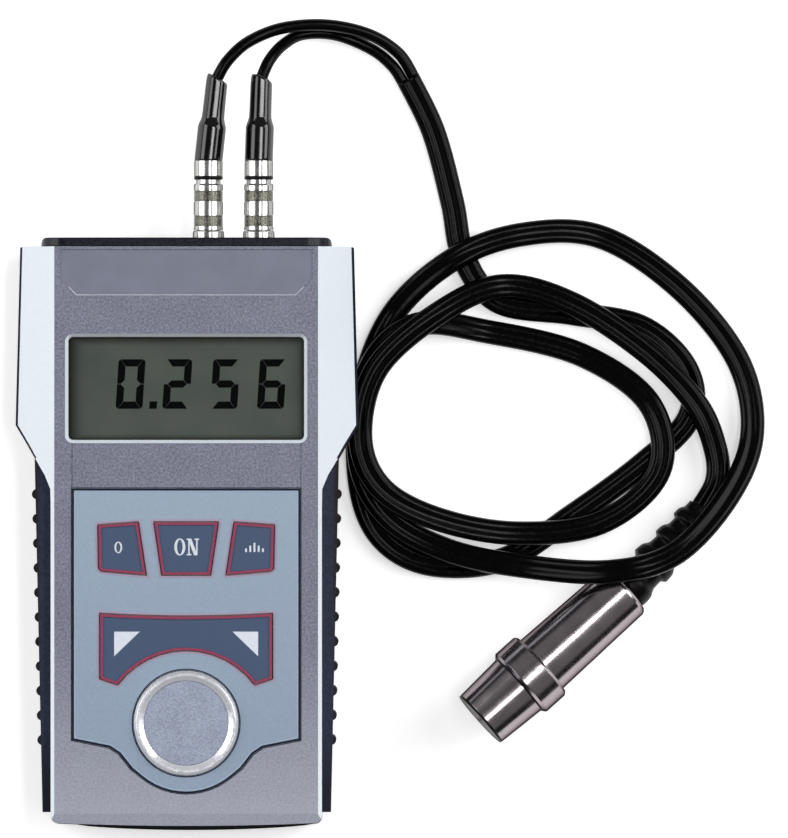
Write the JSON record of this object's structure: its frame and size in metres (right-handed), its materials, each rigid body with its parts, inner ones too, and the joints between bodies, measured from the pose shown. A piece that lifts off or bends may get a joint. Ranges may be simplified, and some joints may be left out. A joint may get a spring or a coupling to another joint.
{
  "type": "ultrasonic thickness gauge",
  "caption": "Hand-held ultrasonic thickness gauge lying on its back, with display, keypad, test block and a twin-crystal probe on a doubled lead.",
  "frame": {"origin": "middle of the back face that the gauge rests on", "axes": "+Z out of the display, +Y towards the connector end, +X to the right seen from the front"},
  "size_m": [0.1606, 0.1735, 0.026],
  "materials": {
    "shell_silver": "metallic silver paint",
    "shell_dark": "satin, dark navy",
    "grip_rubber": "matt",
    "window": "clear",
    "lcd": "grey-green display",
    "holder": "matt",
    "contact_rubber": "matt",
    "board": "solder mask",
    "chips": "matt",
    "screws": "plain",
    "keypad": "matt printed film",
    "switch_layer": "matt",
    "keys": "matt printed",
    "block_steel": "ground",
    "bright_ring": "polished",
    "cells": "wrapped",
    "contacts": "plated",
    "connector": "plated",
    "wire": "plain",
    "boot": "glossy",
    "cable": "satin",
    "relief": "satin",
    "probe_steel": "turned",
    "delay": "amber plastic",
    "cork": "cork",
    "crystal": "plain",
    "backing": "filled resin"
  },
  "bodies": {
    "housing": {"front_shell": "shell_silver", "rear_shell": "shell_dark", "top_cap": "shell_dark", "grip_left": "grip_rubber", "grip_right": "grip_rubber", "window_lens": "window", "lcd_glass": "lcd", "lcd_holder": "holder", "lcd_strips": "contact_rubber", "circuit_board": "board", "board_chips": "chips", "board_screws": "screws", "keypad_film": "keypad", "keypad_switches": "switch_layer", "test_block": "block_steel", "test_block_ring": "bright_ring", "battery_cells": "cells", "battery_contacts": "contacts", "battery_springs": "contacts", "case_screws": "screws", "socket_left": "connector", "socket_right": "connector", "socket_nuts": "connector", "socket_wires": "wire"},
    "key_zero": {"key_zero": "keys"},
    "key_on": {"key_on": "keys"},
    "key_vel": {"key_vel": "keys"},
    "key_arrows": {"key_arrows": "keys"},
    "battery_door": {"battery_door": "shell_dark"},
    "probe_set": {"plug_left": "connector", "plug_right": "connector", "collet_left": "connector", "collet_right": "connector", "boot_left": "boot", "boot_right": "boot", "lead_left": "cable", "lead_right": "cable", "twin_cable": "cable", "strain_relief": "relief", "probe_nose": "probe_steel", "probe_collar": "probe_steel", "probe_body": "probe_steel", "delay_blocks": "delay", "sound_barrier": "cork", "crystals": "crystal", "probe_backing": "backing"},
    "release_sleeve_left": {"sleeve_left": "connector"},
    "release_sleeve_right": {"sleeve_right": "connector"}
  },
  "joints": [
    {"name": "key_zero_press", "type": "slide", "parent": "housing", "child": "key_zero", "axis": [0, 0, -1], "range_m": [0, 0.0004], "stiffness_N_per_m": 400},
    {"name": "key_on_press", "type": "slide", "parent": "housing", "child": "key_on", "axis": [0, 0, -1], "range_m": [0, 0.0004], "stiffness_N_per_m": 400},
    {"name": "key_vel_press", "type": "slide", "parent": "housing", "child": "key_vel", "axis": [0, 0, -1], "range_m": [0, 0.0004], "stiffness_N_per_m": 400},
    {"name": "arrow_rock", "type": "hinge", "parent": "housing", "child": "key_arrows", "pos_m": [0, -0.022, 0.0245], "axis": [0, 1, 0], "range_deg": [-1.2, 1.2], "stiffness_Nm_per_rad": 0.5},
    {"name": "battery_door_slide", "type": "slide", "parent": "housing", "child": "battery_door", "axis": [0, -1, 0], "range_m": [0, 0.012]},
    {"name": "plugs_pull", "type": "slide", "parent": "housing", "child": "probe_set", "axis": [0, 1, 0], "range_m": [0, 0.012]},
    {"name": "sleeve_left", "type": "slide", "parent": "probe_set", "child": "release_sleeve_left", "axis": [0, 1, 0], "range_m": [0, 0.0007], "stiffness_N_per_m": 800},
    {"name": "sleeve_right", "type": "slide", "parent": "probe_set", "child": "release_sleeve_right", "axis": [0, 1, 0], "range_m": [0, 0.0007], "stiffness_N_per_m": 800}
  ]
}
